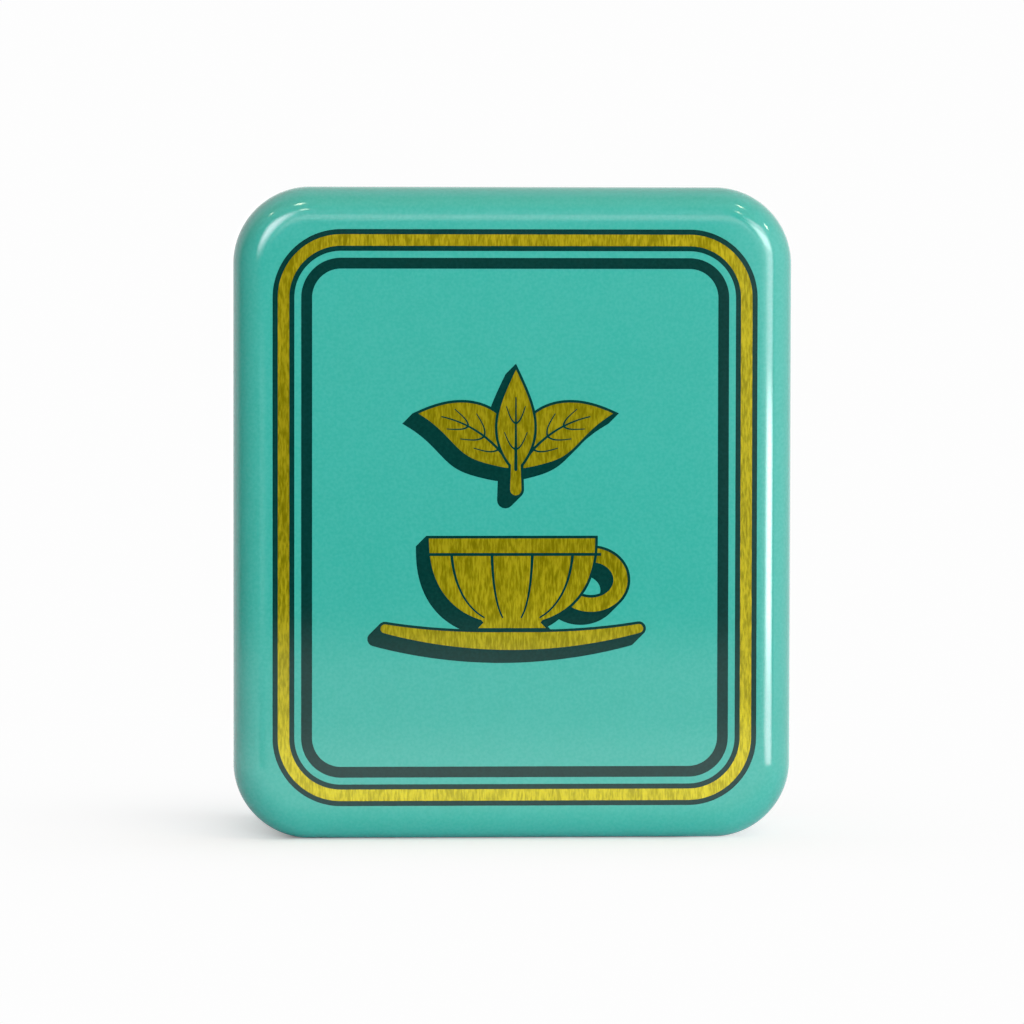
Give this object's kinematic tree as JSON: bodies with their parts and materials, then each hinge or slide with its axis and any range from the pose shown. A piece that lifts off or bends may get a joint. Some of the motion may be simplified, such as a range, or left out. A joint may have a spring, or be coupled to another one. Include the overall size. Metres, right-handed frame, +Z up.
{
  "type": "tea tin",
  "caption": "Upright rectangular tin for tea with rounded corners, a slip lid for its face, banded border lines and a pictured cup.",
  "frame": {"origin": "centre of the tin's footprint, on the surface it stands on", "axes": "+Z up along the tin's height, -Y out of the lid's printed face, +X to the right as seen from the front"},
  "size_m": [0.0944, 0.046, 0.11],
  "materials": {
    "lid_lacquer": "gloss teal lacquer over printed tinplate",
    "base_lacquer": "gloss teal lacquer over tinplate",
    "dark_ink": "dark green-black printing ink under clear varnish",
    "gold_ink": "transparent yellow varnish over bare tinplate, with the rolling grain showing"
  },
  "bodies": {
    "root": {"lid": "lid_lacquer", "base": "base_lacquer"}
  },
  "joints": []
}
